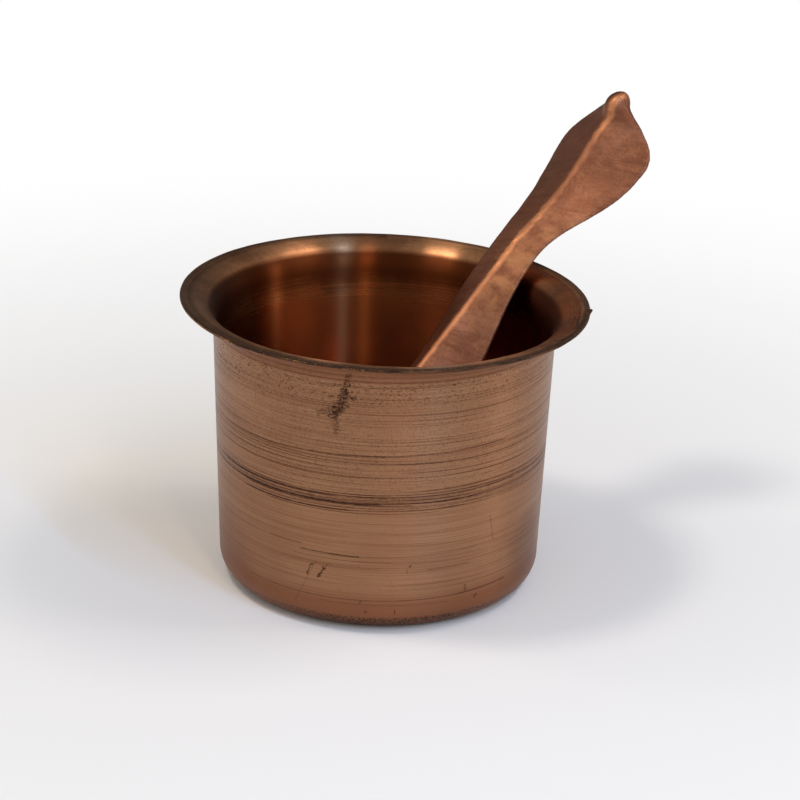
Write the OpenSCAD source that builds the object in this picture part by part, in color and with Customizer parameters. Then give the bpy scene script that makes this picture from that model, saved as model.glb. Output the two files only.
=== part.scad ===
// Copper panchpatra: a spun water cup with a flared lip, and the dipping spoon that leans in it.
// The cup stands on its flat base, centred on the origin, with +Z up. Sizes are in millimetres
// and angles in degrees.

/* [Cup] */
// Diameter over the edge of the lip
lip_d = 89; // [86:0.5:110]
// Height from the base to the edge of the lip
cup_h = 64; // [52:0.5:80]
// Outside diameter of the wall, carried up to the height of the lip
wall_top_d = 75; // [70:0.5:77]
// Outside diameter of the wall, carried down to the base
wall_base_d = 70.6; // [64:0.2:74]
// Thickness of the cup's sheet
sheet_t = 0.8; // [0.5:0.1:1.4]
// Outside radius of the turn between base and wall
base_turn_r = 6; // [3:0.5:10]
// Radius of the turn between wall and lip, on its under face
lip_turn_r = 5.5; // [2:0.25:6]
// Rise of the lip towards its edge
lip_rise = 10; // [0:1:25]

/* [Spoon] */
// Length from the toe of the bowl to the tip of the nub
spoon_l = 131; // [120:0.5:160]
// Thickness of the spoon's sheet
spoon_t = 1.2; // [0.8:0.1:2]
// Radius to which the folded ridge is rounded
ridge_round = 1; // [0.4:0.1:2]

/* [Spoon bowl] */
// Length of the bowl
bowl_l = 30; // [24:0.5:36]
// Width of the bowl
bowl_w = 27; // [22:0.5:34]
// Depth of the bowl below its rim
bowl_depth = 8; // [4:0.5:11]
// Share of the bowl's depth over which its rim is rounded
bowl_rim_round = 0.3; // [0.1:0.05:0.5]

/* [Spoon handle] */
// Distance of the shoulder from the toe
shoulder_along = 51.5; // [42:0.5:60]
// Width of the handle at the shoulder
shoulder_w = 18.4; // [14:0.2:23]
// Fall of the two facets from the ridge at the shoulder
shoulder_fall = 43; // [15:1:50]
// Width over which the shoulder's outline blends into the bowl's
shoulder_blend = 4; // [1:0.5:5]
// Distance of the neck below the tip
neck_below = 43; // [36:0.5:50]
// Width of the handle at the neck
neck_w = 13.4; // [9:0.2:19]
// Fall of the two facets from the ridge at the neck
neck_fall = 13; // [5:1:30]

/* [Spoon hood] */
// Distance of the widest part of the hood below the tip
hood_below = 13.5; // [12:0.5:18]
// Width of the hood
hood_w = 26.6; // [19:0.2:30]
// Fall of the two facets from the ridge at the hood
hood_fall = 23; // [8:1:40]
// Fullness of the hood's outline above its widest part: 1 is straight, 2 is round
hood_full = 2.3; // [1.4:0.05:2.5]
// How far the ridge is bent back where the hood begins
hood_dip = 1.5; // [0:0.1:4]
// Distance of that bend below the tip
dip_below = 27; // [22:0.5:34]
// How far the ridge is bent forward again at the nub
tip_rise = 0.8; // [0:0.1:3]
// Distance below the middle of the nub at which the hood's outline would come to a point
point_gap = 0.7; // [0.4:0.1:1]
// Width of the nub on the tip
nub_w = 5.4; // [5:0.2:7]
// Thickness of the nub, front to back
nub_t = 3.2; // [2.2:0.1:3.3]
// Length over which the sheet thickens into the nub
nub_swell = 6; // [5:0.5:7]
// Width over which the nub's outline blends into the hood's
nub_blend = 3.6; // [3:0.1:4]

/* [Spoon at rest] */
// Direction in which the spoon leans, in plan, from +X towards +Y
spoon_turn = 36; // [0:1:359]
// Distance of the spoon's middle line from the cup's axis, in plan
spoon_aside = 5.5; // [0:0.1:9]
// Roll of the spoon about its length
spoon_roll = 4; // [0:0.5:12]
// Room in plan between the bowl and the edge of the flat floor
toe_room = 7.5; // [3:0.5:10]
// Gap between the spoon and the floor and lip that it rests on
rest_gap = 0.3; // [0.1:0.05:0.6]

/* [Hidden] */
$fn = 180;
// Steps in each arc of the cup's section
arc_steps = 14;

// Taper of the wall from vertical
wall_taper = atan((wall_top_d - wall_base_d) / 2 / cup_h);
// Centre of the base turn, and the floor's flat radius
base_turn_c = [wall_base_d / 2 + base_turn_r * (tan(wall_taper) - 1 / cos(wall_taper)), base_turn_r];
floor_r = base_turn_c.x;
// Radii of the lip turn at its top face and at the middle of the sheet
lip_top_r = lip_turn_r + sheet_t;
lip_mid_r = lip_turn_r + sheet_t / 2;
// Centre of the lip turn, set so that the lip ends at its diameter and its height
lip_edge_r = sheet_t / 2;
lip_edge_c = [lip_d / 2 - lip_edge_r, cup_h - lip_edge_r];
lip_turn_foot = wall_base_d / 2 + lip_turn_r / cos(wall_taper);
lip_reach = lip_edge_c.x - lip_turn_foot + lip_mid_r * sin(lip_rise);
lip_turn_z = (lip_edge_c.y - lip_mid_r * cos(lip_rise) - lip_reach * tan(lip_rise))
    / (1 - tan(wall_taper) * tan(lip_rise));
lip_turn_c = [lip_turn_foot + lip_turn_z * tan(wall_taper), lip_turn_z];

// Half the spoon's sheet: its rounded edge stands this far outside the outline of the sheet's middle
half_t = spoon_t / 2;
// Places along the spoon, from the toe
bowl_mid = bowl_l / 2;
neck_along = spoon_l - neck_below;
dip_along = spoon_l - dip_below;
hood_along = spoon_l - hood_below;
nub_along = spoon_l - nub_w / 2;
point_along = nub_along - point_gap;
// Half sizes of the bowl and of the nub at the middle of the sheet
bowl_half_l = bowl_l / 2 - half_t;
bowl_half_w = bowl_w / 2 - half_t;
nub_r = (nub_w - nub_t) / 2;
// How far the bowl's rim lies below the ridge, so that it is level with the shoulder's edges
bowl_drop = tan(shoulder_fall) * facet_run(shoulder_w / 2 - half_t);
// Sizes that change along the handle, as pairs of place and value
handle_halves = [
    [shoulder_along, shoulder_w / 2 - half_t],
    [neck_along, neck_w / 2 - half_t],
    [hood_along, hood_w / 2 - half_t],
];
facet_slopes = [
    [bowl_l, 0],
    [shoulder_along, tan(shoulder_fall)],
    [neck_along, tan(neck_fall)],
    [hood_along, tan(hood_fall)],
];
ridge_heights = [
    [bowl_l, -bowl_drop],
    [shoulder_along, 0],
    [neck_along, 0],
    [dip_along, -hood_dip],
    [nub_along, tip_rise],
];
half_thicks = [[nub_along - nub_swell, half_t], [nub_along, nub_t / 2]];

// Stations along the spoon: close together round the toe and the nub, even between them
toe_steps = 10;
swell_steps = 8;
nub_steps = 5;
station_gap = 2;
handle_run = nub_along - nub_swell - bowl_mid;
handle_steps = ceil(handle_run / station_gap);
stations = [
    for (i = [0 : toe_steps - 1]) bowl_mid - bowl_half_l * cos(90 * i / toe_steps),
    for (i = [0 : handle_steps - 1]) bowl_mid + handle_run * i / handle_steps,
    for (i = [0 : swell_steps - 1]) nub_along - nub_swell * (1 - i / swell_steps),
    for (i = [0 : nub_steps]) nub_along + nub_r * sin(90 * i / nub_steps),
];
last = len(stations) - 1;
// Places across a station, from the right edge at -1 to the left at 1, closest at the ridge
across_steps = 8;
across_crowding = 1.5;
across = [for (i = [-across_steps : across_steps]) sign(i) * pow(abs(i) / across_steps, across_crowding)];
// Angles at which the rounded edge of the sheet is cut, from the top face down
edge_angles = [60, 30, 0, -30, -60];
slope_step = 0.05;

function ease(t) = t * t * (3 - 2 * t);
function unit(v) = v / norm(v);
function sum_sq(v) = v * v;
// Value at x on a smooth line through the pairs, level at each of them
function along(x, pairs, i = 0) =
    let (from = pairs[i], to = pairs[i + 1])
    x <= from[0] || is_undef(to) ? from[1]
    : x >= to[0] ? along(x, pairs, i + 1)
    : from[1] + (to[1] - from[1]) * ease((x - from[0]) / (to[0] - from[0]));
// Larger of two values, rounded where they are within a distance r
function larger(a, b, r) = max(a, b) + pow(max(r - abs(a - b), 0), 2) / (4 * r);
// Distance down a facet at y from the middle, with the ridge rounded
function facet_run(y) = norm([y, ridge_round]) - ridge_round;

// Half widths of the bowl, of the hood above its widest part, of the nub, and of the whole outline
function oval(x, mid, half_l, half_w) = half_w * sqrt(max(0, 1 - pow((x - mid) / half_l, 2)));
function bowl_half(x) = oval(x, bowl_mid, bowl_half_l, bowl_half_w);
function hood_half(x) =
    (hood_w / 2 - half_t) * (1 - pow((x - hood_along) / (point_along - hood_along), hood_full));
function nub_half(x) = x < nub_along ? nub_r : oval(x, nub_along, nub_r, nub_r);
function half_width(x) =
    x <= bowl_mid ? bowl_half(x)
    : x < hood_along ? larger(bowl_half(x), along(x, handle_halves), shoulder_blend)
    : larger(hood_half(x), nub_half(x), nub_blend);

// Height of the middle of the sheet, measured from the ridge line
function dish(x, y) = 1 - sum_sq([(x - bowl_mid) / bowl_half_l, y / bowl_half_w]);
function height(x, y) =
    along(x, ridge_heights) - along(x, facet_slopes) * facet_run(y)
    - bowl_depth * larger(dish(x, y), 0, bowl_rim_round);
function face_up(x, y) = unit([
    height(x - slope_step, y) - height(x + slope_step, y),
    height(x, y - slope_step) - height(x, y + slope_step),
    2 * slope_step,
]);
function half_thick(x) = along(x, half_thicks);

// Points of the sheet's top face, under face and rounded left edge at a station
function middle(x, y) = [x, y, height(x, y)];
function face_point(x, y, side) = middle(x, y) + side * half_thick(x) * face_up(x, y);
function left_edge(i) = middle(stations[i], half_width(stations[i]));
function edge_run(i) =
    i == 0 ? [0, 1, 0]
    : i == last ? [0, -1, 0]
    : left_edge(i + 1) - left_edge(i - 1);
function edge_points(i) =
    let (x = stations[i], y = half_width(x), up = face_up(x, y), out = unit(cross(up, edge_run(i))))
    [for (a = edge_angles) left_edge(i) + half_thick(x) * (cos(a) * out + sin(a) * up)];
function flip(points) = [for (i = [len(points) - 1 : -1 : 0]) [points[i].x, -points[i].y, points[i].z]];
// One closed ring of the sheet: over the top, round the left edge, back below, round the right edge
function ring(i) =
    let (x = stations[i], w = half_width(x), left = edge_points(i))
    concat(
        [for (e = across) face_point(x, w * e, 1)],
        left,
        [for (e = across) face_point(x, -w * e, -1)],
        flip(left)
    );
// The toe and the tip end in one line of points round the edge
function end_line(i) =
    concat([face_point(stations[i], 0, 1)], edge_points(i), [face_point(stations[i], 0, -1)]);

rings = [for (i = [1 : last - 1]) ring(i)];
spoon_points = [each end_line(0), for (r = rings) each r, each end_line(last)];

// Index of a ring's point, with the rings at both ends drawn together into their lines
across_n = len(across);
edge_n = len(edge_angles);
ring_n = 2 * (across_n + edge_n);
line_n = edge_n + 2;
function line_index(j) =
    j < across_n ? 0
    : j < across_n + edge_n ? j - across_n + 1
    : j < 2 * across_n + edge_n ? line_n - 1
    : ring_n - j;
function point_index(i, j) =
    let (k = j % ring_n)
    i == 0 ? line_index(k)
    : i < last ? line_n + (i - 1) * ring_n + k
    : line_n + (last - 1) * ring_n + line_index(k);
function is_open(f) = f[0] != f[1] && f[1] != f[2] && f[2] != f[0];
spoon_faces = [
    for (i = [0 : last - 1], j = [0 : ring_n - 1])
        let (
            a = point_index(i, j),
            b = point_index(i, j + 1),
            c = point_index(i + 1, j + 1),
            d = point_index(i + 1, j)
        )
        each [for (f = [[a, b, c], [a, c, d]]) if (is_open(f)) f],
];

// The spoon at rest: the lean is found that brings the handle down to the lip with the bowl on the floor
bowl_points = [each end_line(0), for (i = [1 : last - 1]) if (stations[i] < bowl_l) each rings[i - 1]];
handle_points = [for (i = [1 : last - 1]) if (stations[i] > shoulder_along) each rings[i - 1]];
lean_low = 10;
lean_high = 85;
halvings = 24;

function leant(p, lean) =
    let (
        y = p.y * cos(spoon_roll) - p.z * sin(spoon_roll),
        z = p.y * sin(spoon_roll) + p.z * cos(spoon_roll)
    )
    [p.x * cos(lean) - z * sin(lean), y, p.x * sin(lean) + z * cos(lean)];
function plan_r(p, shift) = norm([p.x + shift, p.y + spoon_aside]);
// Shift along the lean that leaves the bowl its room on the floor
function toe_shift(points, low = -wall_top_d, high = 0, n = halvings) =
    let (mid = (low + high) / 2)
    n == 0 ? mid
    : max([for (p = points) plan_r(p, mid)]) > floor_r - toe_room ? toe_shift(points, mid, high, n - 1)
    : toe_shift(points, low, mid, n - 1);
function rest_place(lean) =
    let (points = [for (p = bowl_points) leant(p, lean)])
    [toe_shift(points), spoon_aside, sheet_t + rest_gap - min([for (p = points) p.z])];
// Offset of a point from the ring that the lip turns about
function from_lip(p) =
    let (out = unit([p.x, p.y]))
    p - [lip_turn_c.x * out.x, lip_turn_c.x * out.y, lip_turn_c.y];
// Gap between the handle and the lip, below zero where they cross
function lip_gap(lean) =
    let (
        place = rest_place(lean),
        offs = [for (p = handle_points) from_lip(leant(p, lean) + place)],
        least = min([for (o = offs) norm(o)]),
        nearest = [for (o = offs) if (norm(o) == least) o][0],
        side = nearest * [-sin(lean), 0, cos(lean)] < 0 ? -1 : 1
    )
    side * least - lip_top_r;
function rest_lean(low, high, n) =
    let (mid = (low + high) / 2)
    n == 0 ? mid
    : lip_gap(mid) < rest_gap ? rest_lean(mid, high, n - 1)
    : rest_lean(low, mid, n - 1);

// Points on an arc about a centre
function arc(centre, r, from, to) =
    [for (i = [0 : arc_steps]) let (a = from + (to - from) * i / arc_steps) centre + r * [cos(a), sin(a)]];

// Section of the sheet: out along the base, up the wall and over the lip, then back down the inner face
module cup_section() {
    lip_angle = 90 + lip_rise;
    wall_angle = 180 - wall_taper;
    polygon([
        [0, 0],
        each arc(base_turn_c, base_turn_r, -90, -wall_taper),
        each arc(lip_turn_c, lip_turn_r, wall_angle, lip_angle),
        each arc(lip_edge_c, lip_edge_r, lip_angle - 180, lip_angle),
        each arc(lip_turn_c, lip_top_r, lip_angle, wall_angle),
        each arc(base_turn_c, base_turn_r - sheet_t, -wall_taper, -90),
        [0, sheet_t],
    ]);
}

module cup() {
    color("#8c6650")
        rotate_extrude()
            cup_section();
}

module spoon() {
    lean = rest_lean(lean_low, lean_high, halvings);
    color("#96684e")
        rotate(spoon_turn)
            translate(rest_place(lean))
                rotate([0, -lean, 0])
                    rotate([spoon_roll, 0, 0])
                        polyhedron(spoon_points, spoon_faces);
}

cup();
spoon();
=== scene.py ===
import math
from collections import namedtuple

import bmesh
import bpy
from bpy.props import FloatProperty, FloatVectorProperty, PointerProperty
from mathutils import Matrix, Vector, noise


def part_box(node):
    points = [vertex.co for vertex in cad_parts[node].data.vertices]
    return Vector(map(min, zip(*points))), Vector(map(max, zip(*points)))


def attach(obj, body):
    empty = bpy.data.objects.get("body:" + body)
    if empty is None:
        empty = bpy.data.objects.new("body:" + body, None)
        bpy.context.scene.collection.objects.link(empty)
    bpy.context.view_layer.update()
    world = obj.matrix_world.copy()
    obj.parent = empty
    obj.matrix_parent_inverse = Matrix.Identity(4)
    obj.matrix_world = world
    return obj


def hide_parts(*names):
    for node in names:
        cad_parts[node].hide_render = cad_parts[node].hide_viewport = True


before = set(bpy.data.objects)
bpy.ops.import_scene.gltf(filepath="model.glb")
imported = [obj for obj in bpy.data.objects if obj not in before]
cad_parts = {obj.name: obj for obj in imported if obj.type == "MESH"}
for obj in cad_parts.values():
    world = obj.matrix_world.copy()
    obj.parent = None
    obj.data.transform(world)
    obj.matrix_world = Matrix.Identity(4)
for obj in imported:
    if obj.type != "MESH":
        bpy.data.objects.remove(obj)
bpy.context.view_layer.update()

bl_info = {
    "name": "Copper panchpatra",
    "version": (1, 0, 0),
    "blender": (4, 5, 0),
    "location": "View3D > Sidebar > Panchpatra",
    "description": "Spins a copper water cup, dresses its dipping spoon and sets a studio round them",
    "category": "Object",
}

CUP_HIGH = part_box("cup")[1]
MM = 0.001
MERGE_GAP = 0.001 * MM
QUARTER = math.radians(90)

# Lathe grooves cut into the wall: height at the front, rise per millimetre to the right, half width and
# depth in millimetres, darkness, and the stretch of angles in degrees from the front where they show.
Groove = namedtuple("Groove", "height rise half_width depth tone start end")
GROOVES = (
    Groove(33.4, 0.010, 0.20, 0.030, 0.45, -180, 180),
    Groove(33.5, 0.010, 0.26, 0.030, 0.50, 14, 62),
    Groove(32.2, 0.011, 0.30, 0.070, 0.80, -180, 180),
    Groove(32.2, 0.011, 0.42, 0.030, 0.95, -68, -14),
    Groove(32.2, 0.011, 0.34, 0.030, 0.95, 18, 54),
    Groove(30.8, 0.010, 0.30, 0.060, 0.75, -180, 180),
    Groove(30.7, 0.010, 0.48, 0.040, 1.00, -56, 2),
    Groove(30.8, 0.010, 0.36, 0.040, 0.95, 17, 36),
    Groove(29.9, 0.009, 0.18, 0.020, 0.45, -18, 70),
    Groove(29.1, 0.009, 0.22, 0.040, 0.55, -150, 120),
    Groove(29.0, 0.009, 0.28, 0.030, 0.95, -53, -8),
    Groove(29.2, 0.009, 0.26, 0.030, 0.80, 21, 31),
    Groove(31.2, 0.010, 3.20, 0.000, 0.38, -180, 180),
    Groove(32.75, 0.011, 0.19, 0.010, 0.75, -70, 60),
    Groove(31.5, 0.010, 0.20, 0.010, 0.80, -62, 34),
    Groove(30.3, 0.010, 0.20, 0.010, 0.80, -52, 12),
    Groove(29.6, 0.009, 0.18, 0.010, 0.70, -46, 60),
    Groove(28.5, 0.009, 0.18, 0.010, 0.55, -42, 20),
    Groove(40.0, 0.001, 0.24, 0.030, 0.75, -180, 180),
    Groove(41.7, 0.024, 0.28, 0.030, 0.80, -85, 46),
    Groove(42.6, 0.010, 0.24, 0.015, 0.55, -44, -28),
    Groove(37.9, 0.002, 0.30, 0.015, 0.45, 8, 60),
    Groove(36.7, 0.002, 0.24, 0.020, 0.60, -180, 180),
    Groove(38.4, 0.000, 0.30, 0.010, 0.40, -70, -16),
)
# Degrees over which a groove fades out at its ends, and the stretch of one that has no ends.
GROOVE_FADE = 4
FULL_TURN = 360

# Marks on the wall, each a straight stroke: angle in degrees from the front and height in millimetres
# of its start and of its end, half width in millimetres, and darkness.
Mark = namedtuple("Mark", "start_angle start end_angle end half_width tone")
SCRATCHES = (
    Mark(-27.0, 18.35, -16.5, 18.3, 0.17, 0.80),
    Mark(-16.5, 18.3, -6.5, 18.2, 0.22, 0.95),
    Mark(-6.0, 18.2, 35.0, 18.8, 0.12, 0.40),
    Mark(-30.0, 17.1, 5.0, 17.1, 0.14, 0.45),
    Mark(-40.0, 19.6, -27.0, 19.6, 0.18, 0.50),
    Mark(-35.0, 15.9, -6.0, 16.1, 0.12, 0.40),
    Mark(17.0, 15.1, 33.0, 15.2, 0.16, 0.55),
    Mark(-50.0, 8.1, 0.0, 8.0, 0.17, 0.50),
    Mark(0.0, 8.0, 28.0, 8.2, 0.17, 0.60),
    Mark(28.0, 8.2, 50.0, 8.6, 0.22, 0.80),
    Mark(-20.0, 7.0, 25.0, 6.9, 0.14, 0.40),
    Mark(-21.5, 16.0, -29.8, 5.2, 0.16, 0.30),
    Mark(40.8, 25.0, 42.8, 19.2, 0.14, 0.65),
)
DABS = (
    Mark(-23.2, 14.9, -24.8, 12.8, 0.28, 0.90),
    Mark(-16.8, 16.1, -18.6, 14.4, 0.22, 0.75),
    Mark(-18.8, 14.2, -20.6, 12.5, 0.38, 1.00),
    Mark(11.0, 16.4, 11.4, 15.9, 0.30, 0.95),
    Mark(9.8, 15.5, 9.9, 14.6, 0.18, 0.65),
    Mark(31.5, 9.8, 32.0, 8.6, 0.45, 0.55),
    Mark(36.6, 7.1, 36.2, 6.5, 0.28, 0.85),
    Mark(-5.8, 7.7, -6.0, 7.3, 0.28, 0.90),
    Mark(6.6, 5.5, 6.0, 5.0, 0.28, 0.90),
    Mark(-12.2, 10.1, -13.3, 9.7, 0.24, 0.70),
    Mark(-3.6, 5.3, -4.0, 5.1, 0.24, 0.80),
)
STAINS = (
    Mark(-10.8, 59.8, -12.2, 55.5, 1.0, 0.70),
    Mark(-12.0, 55.8, -13.0, 53.2, 1.4, 0.90),
    Mark(-12.6, 54.0, -9.0, 54.6, 0.8, 0.65),
    Mark(-13.0, 53.0, -15.8, 50.6, 1.9, 0.90),
    Mark(-15.4, 50.8, -14.6, 47.0, 1.3, 0.55),
    Mark(-15.8, 51.8, -20.5, 50.4, 1.2, 0.55),
)
# Run of a degree along the unrolled wall, share of a mark's width that is full, and stray of a ragged one.
MM_PER_DEGREE = 0.63
MARK_CORE = 0.35
RAGGED = (1.9, 1.9, 0)

# Thin dark seams round the wall under the lip: height, half width, half width of the dark core, darkness.
Seam = namedtuple("Seam", "height half_width core tone")
SEAMS = (Seam(58.4, 0.25, 0.10, 1.0), Seam(59.5, 0.20, 0.08, 0.7))

# Soft oval patches on the cup: angle and height or radius of the middle, then half sizes.
Patch = namedtuple("Patch", "angle middle half_angle half_size")
LEFT_RUDDY = Patch(-74, 10, 30, 13)
RIGHT_TARNISH = Patch(64, 14, 15, 10)
FOOT_GRIT = Patch(10, 2, 60, 9)
LIP_GRAIN = Patch(62, 43, 50, 4)
LIP_SMUDGE = Patch(68, 43.5, 34, 3.8)
LIP_FRONT = Patch(20, 43.5, 120, 6)

# Where a finish of the cup sets in, from none to full: heights and radii in millimetres, angles in degrees.
UPPER_WALL = (26, 37)
# Low down, the wall gets painted shade that stands in for the shadowed floor it reflects.
LOW_WALL = (12, 6)
WALL_TOP = (57.6, 58.4)
PIT_ROWS = (52, 55)
PIT_ROWS_END = (58.8, 57.6)
LEFT_PITS = (43, 55)
LEFT_PITS_ANGLE = (5, -40)
FOOT_SOOT = (4.3, 3.2)
FOOT_RING = (28, 31)
LIP_EDGE = (43.7, 43.95)
# The next two set in the painted golden highlight under the lip's edge, by height and by angle.
EDGE_UNDERSIDE = (63.85, 63.70)
EDGE_GLINT_ANGLE = (12, -14)
LIP_TOP = (36.5, 39.5)
# The turn of the lip gets painted shade, and so does the rim further in on its left.
LIP_TURN_HEIGHT = (49.5, 57)
LIP_TURN_RADIUS = (38.9, 37.7)
LIP_SHADED_ANGLE = (0, -40)
RIM = (42.0, 43.9)
RIM_OXIDE = (42.2, 43.5)

# Where a finish of the spoon sets in, from none to full: millimetres along it from the toe of its bowl.
# The two facets are in millimetres across it, above zero to the left.
# Several stretches below set where the painted highlight on the ridge and the painted shade on the nub's
# sides show.
RIDGE_START = (40, 50)
GOLDEN_START = (62, 78)
GOLDEN_END = (106, 88)
NECK_START = (74, 84)
NECK_END = (104, 96)
HANDLE_END = (102, 92)
HOOD_START = (96, 110)
CROWN_START = (115, 122)
RIDGE_BEND = (117, 129)
NUB_START = (123.5, 126)
RIDGE_END = (130, 127)
RIGHT_FACET = (0, -2)
# The left facet gets painted shade.
LEFT_FACET = (0.4, 1.6)

# Pieces that the cup's section is drawn in: lengths, finest where the grooves are, and steps of each arc.
FLAT_STEP = 8 * MM
WALL_STEPS = ((28 * MM, 0.8 * MM), (35 * MM, 0.125 * MM), (44 * MM, 0.3 * MM))
LIP_STEP = 1.0 * MM
INNER_STEP = 2.0 * MM
BASE_ARC = 12
LIP_ARC = 14
EDGE_ARC = 8
INNER_LIP_ARC = 16
INNER_BASE_ARC = 10
SPIN_STEPS = 360

# Wear of the cup: what counts as the axis and as the wall, shares of the height where the lip's skew sets
# in, the lip's ripples as waves and height, and the width, half angle and lean of the burr on its edge.
AXIS_REACH = 1 * MM
WALL_REACH = 0.05 * MM
SKEW_START = 0.7
SKEW_FULL = 0.95
RIPPLES = ((2.1, 0.12 * MM), (9, 0.05 * MM))
EDGE_WIDTH = 1.2 * MM
BURR_HALF_ANGLE = math.radians(1.4)
BURR_LEAN = 0.7

# Handwork on the spoon: the hood's fuller stretch before the tip and the left side's share of it, which is
# below zero because it draws in, the nub's place and stretch, the fused skin, the rounds of smoothing at
# the tip, and the hammer's dents as waves per millimetre and share of their depth.
HOOD_REACH = 10 * MM
HOOD_FROM_TIP = 6 * MM
HOOD_LEFT_SHARE = -0.3
NUB_BACK = 0.6 * MM
NUB_STRETCH = 1.3
SKIN_GRAIN = 0.33 * MM
SKIN_PASSES = 7
TIP_PASSES = 24
TIP_REACH = 14 * MM
TIP_STEP = 0.4 * MM
DENTS = ((0.16, 1.0), (0.37, 0.6))

# Soft lamps that face the cup: azimuth from the front to the right, rise above the horizon and lean of the
# lamp's top to the right in degrees, width and height in metres, power in watts and screen colour.
Lamp = namedtuple("Lamp", "name azimuth rise lean width height power tint")
WARM_WHITE = (255, 246, 236)
LAMPS = (
    Lamp("left_high_lamp", -70, 68, 0, 0.16, 0.18, 1.95, WARM_WHITE),
    Lamp("right_high_lamp", 92, 58, 0, 0.40, 0.18, 1.6, WARM_WHITE),
    Lamp("cool_strip_lamp", 36, 42, 14, 0.012, 0.64, 2.6, (140, 195, 255)),
    Lamp("front_strip_lamp", 17, 40, 6, 0.06, 0.50, 1.0, (255, 220, 178)),
    Lamp("ridge_lamp", -97, 45, 0, 0.10, 0.10, 0.35, (255, 236, 212)),
    Lamp("side_strip_lamp", 84, 16, 13, 0.06, 0.50, 0.78, WARM_WHITE),
)
LAMP_DISTANCE = 0.9

# The camera circles the cup's middle and looks at a place to its right and higher up. Its sensor is in
# millimetres, and where its view starts and half the floor's side are in metres.
CAMERA_MIDDLE = Vector((0, 0, 31.8 * MM))
CAMERA_AIM = Vector((3.87 * MM, 0, 40.1 * MM))
SENSOR_WIDTH = 36
NEAR_CLIP = 0.01
FLOOR_HALF = 3


def srgb(red, green, blue):
    """Linear colour of a screen colour given from 0 to 255."""
    def linear(value):
        value /= 255
        return value / 12.92 if value <= 0.04045 else ((value + 0.055) / 1.055) ** 2.4
    return tuple(linear(value) for value in (red, green, blue))


def length(name, description, default):
    """A length in metres that a user can change."""
    return FloatProperty(
        name=name, description=description, default=default, subtype="DISTANCE", unit="LENGTH")


def turn(name, description, degrees):
    """An angle that a user can change, given in degrees."""
    return FloatProperty(
        name=name, description=description, default=math.radians(degrees), subtype="ANGLE")


def ratio(name, description, default):
    """A plain number that a user can change."""
    return FloatProperty(name=name, description=description, default=default)


def colour(name, description, *screen):
    """A colour that a user can change, given from 0 to 255."""
    return FloatVectorProperty(
        name=name, description=description, default=srgb(*screen), subtype="COLOR", min=0, max=1)


class CupSettings(bpy.types.PropertyGroup):
    """Sizes and colours of the cup."""
    lip_radius: length("Lip radius", "Radius over the edge of the lip", CUP_HIGH.x)
    height: length("Height", "Height of the edge of the lip", CUP_HIGH.z)
    wall_top: length("Wall radius at lip", "Outside radius of the wall at the height of the lip", 37.5 * MM)
    wall_base: length("Wall radius at base", "Outside radius of the wall carried to the base", 35.3 * MM)
    sheet: length("Sheet", "Thickness of the sheet", 0.8 * MM)
    base_turn: length("Base turn", "Outside radius between base and wall", 6 * MM)
    lip_turn: length("Lip turn", "Radius under the lip", 5.5 * MM)
    lip_rise: turn("Lip rise", "Rise of the lip towards its edge", 10)
    lip_skew: ratio("Lip skew", "Fall of the lip to the right", 0.0167)
    burr: length("Burr", "Height of the torn burr on the edge of the lip", 0.7 * MM)
    burr_angle: turn("Burr angle", "Place of the burr, from the front to the right", 86)
    copper: colour("Copper", "Rubbed copper of the wall", 166, 124, 93)
    ruddy: colour("Ruddy copper", "Redder copper between the lathe lines", 136, 88, 62)
    brown: colour("Brown line", "Tarnish in the lathe lines", 92, 54, 38)
    soot: colour("Soot", "Old black in the grooves", 46, 37, 36)
    stain: colour("Stain", "Dark brown of stains and scratches", 62, 40, 31)
    inner: colour("Inner copper", "Redder copper inside", 186, 112, 64)
    lip: colour("Lip", "Copper on top of the lip", 196, 140, 98)
    # Painted shade: this dark red stands in for the dark room that the turn of the lip reflects.
    painted_turn_shade: colour("Lip shade", "Dark red copper in the turn of the lip", 78, 31, 10)
    rim: colour("Rim", "Dark tarnish round the edge of the lip", 44, 31, 24)
    # Painted highlight: this golden colour stands in for light caught by the underside of the lip's edge.
    painted_edge_glint: colour("Rubbed edge", "Golden line under the edge of the lip", 186, 126, 80)


class SpoonSettings(bpy.types.PropertyGroup):
    """Pose, handwork and colours of the spoon."""
    plan_turn: turn("Turn", "Direction in which the spoon leans, in plan", 36)
    lean: turn("Lean", "Rise of the spoon's length from the floor", 44.21)
    roll: turn("Roll", "Roll of the spoon about its length", 4)
    dent: length("Dent", "Depth of the hammer's dents", 0.10 * MM)
    edge_allowance: ratio("Edge allowance", "Width before the edges are rounded, over the final one", 1.03)
    hood_shift: ratio("Hood shift", "How much fuller the hood is on its right", 0.12)
    nub: length("Nub", "Radius of the rounded nub on the tip", 2.85 * MM)
    nub_rise: length("Nub rise", "How far the nub stands above the sheet", 0.5 * MM)
    copper: colour("Copper", "Copper of the facets", 147, 97, 72)
    clouded: colour("Clouded copper", "Darker clouds on the facets", 122, 76, 56)
    bloom: colour("Pink bloom", "Paler rubbed clouds on the facets", 172, 122, 100)
    golden: colour("Golden copper", "Golden part of the handle's facet", 182, 128, 86)
    # Painted highlight: this bright copper stands in for the light caught along the rounded ridge.
    ridge: colour("Ridge", "Copper rubbed bright along the ridge", 236, 160, 112)


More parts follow.
